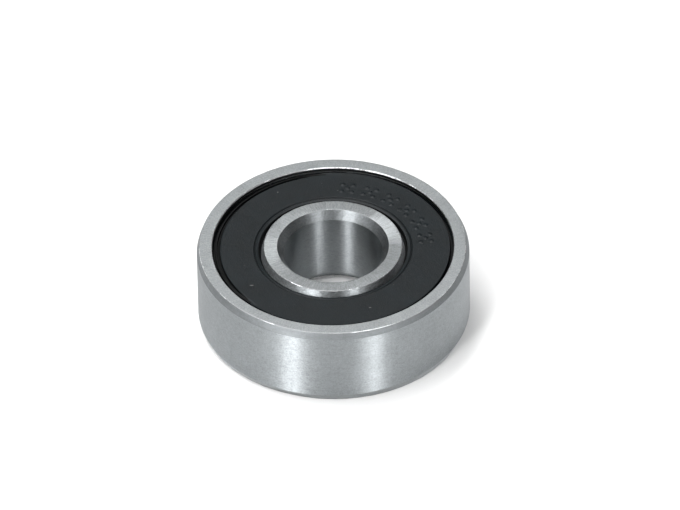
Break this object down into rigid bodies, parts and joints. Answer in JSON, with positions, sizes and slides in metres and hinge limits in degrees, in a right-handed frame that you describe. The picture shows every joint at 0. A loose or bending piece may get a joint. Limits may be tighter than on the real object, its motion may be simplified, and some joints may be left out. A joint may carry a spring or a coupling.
{
  "type": "ball bearing",
  "caption": "Sealed deep-groove ball bearing with a plain through bore, ground steel rings and a black rubber seal on each side.",
  "frame": {"origin": "centre of the bearing, on the bore's axis midway between the faces of the rings", "axes": "+Z along the bore's axis, out of the upper face; the rings lie in the XY plane; ball_1 is centred on +X"},
  "size_m": [0.022, 0.022, 0.007],
  "materials": {
    "ring_steel": "ground bearing steel, scratched faces",
    "ball_steel": "lapped to a mirror",
    "cage_steel": "pressed sheet, satin",
    "rivet_steel": "headed wire, satin",
    "seal_rubber": "satin moulded nitrile rubber",
    "core_steel": "stamped sheet, phosphated"
  },
  "bodies": {
    "outer_ring": {"outer_ring": "ring_steel", "seal_upper_rubber": "seal_rubber", "seal_upper_core": "core_steel", "seal_lower_rubber": "seal_rubber", "seal_lower_core": "core_steel"},
    "inner_ring": {"inner_ring": "ring_steel"},
    "cage": {"cage_upper": "cage_steel", "cage_lower": "cage_steel", "cage_rivet_1": "rivet_steel", "cage_rivet_2": "rivet_steel", "cage_rivet_3": "rivet_steel", "cage_rivet_4": "rivet_steel", "cage_rivet_5": "rivet_steel", "cage_rivet_6": "rivet_steel", "cage_rivet_7": "rivet_steel"},
    "ball_1": {"ball_1": "ball_steel"},
    "ball_2": {"ball_2": "ball_steel"},
    "ball_3": {"ball_3": "ball_steel"},
    "ball_4": {"ball_4": "ball_steel"},
    "ball_5": {"ball_5": "ball_steel"},
    "ball_6": {"ball_6": "ball_steel"},
    "ball_7": {"ball_7": "ball_steel"}
  },
  "joints": [
    {"name": "inner_ring_spin", "type": "hinge", "parent": "outer_ring", "child": "inner_ring", "pos_m": [0, 0, 0], "axis": [0, 0, 1], "continuous": true},
    {"name": "cage_orbit", "type": "hinge", "parent": "outer_ring", "child": "cage", "pos_m": [0, 0, 0], "axis": [0, 0, 1], "continuous": true},
    {"name": "ball_1_spin", "type": "hinge", "parent": "cage", "child": "ball_1", "pos_m": [0.0075, 0, 0], "axis": [0, 0, 1], "continuous": true},
    {"name": "ball_2_spin", "type": "hinge", "parent": "cage", "child": "ball_2", "pos_m": [0.00468, 0.00586, 0], "axis": [0, 0, 1], "continuous": true},
    {"name": "ball_3_spin", "type": "hinge", "parent": "cage", "child": "ball_3", "pos_m": [-0.00167, 0.00731, 0], "axis": [0, 0, 1], "continuous": true},
    {"name": "ball_4_spin", "type": "hinge", "parent": "cage", "child": "ball_4", "pos_m": [-0.00676, 0.00325, 0], "axis": [0, 0, 1], "continuous": true},
    {"name": "ball_5_spin", "type": "hinge", "parent": "cage", "child": "ball_5", "pos_m": [-0.00676, -0.00325, 0], "axis": [0, 0, 1], "continuous": true},
    {"name": "ball_6_spin", "type": "hinge", "parent": "cage", "child": "ball_6", "pos_m": [-0.00167, -0.00731, 0], "axis": [0, 0, 1], "continuous": true},
    {"name": "ball_7_spin", "type": "hinge", "parent": "cage", "child": "ball_7", "pos_m": [0.00468, -0.00586, 0], "axis": [0, 0, 1], "continuous": true}
  ],
  "couplings": [
    {"joint": "cage_orbit", "follows": "inner_ring_spin", "ratio": 0.3677},
    {"joint": "ball_1_spin", "follows": "inner_ring_spin", "ratio": -1.7573},
    {"joint": "ball_2_spin", "follows": "inner_ring_spin", "ratio": -1.7573},
    {"joint": "ball_3_spin", "follows": "inner_ring_spin", "ratio": -1.7573},
    {"joint": "ball_4_spin", "follows": "inner_ring_spin", "ratio": -1.7573},
    {"joint": "ball_5_spin", "follows": "inner_ring_spin", "ratio": -1.7573},
    {"joint": "ball_6_spin", "follows": "inner_ring_spin", "ratio": -1.7573},
    {"joint": "ball_7_spin", "follows": "inner_ring_spin", "ratio": -1.7573}
  ]
}
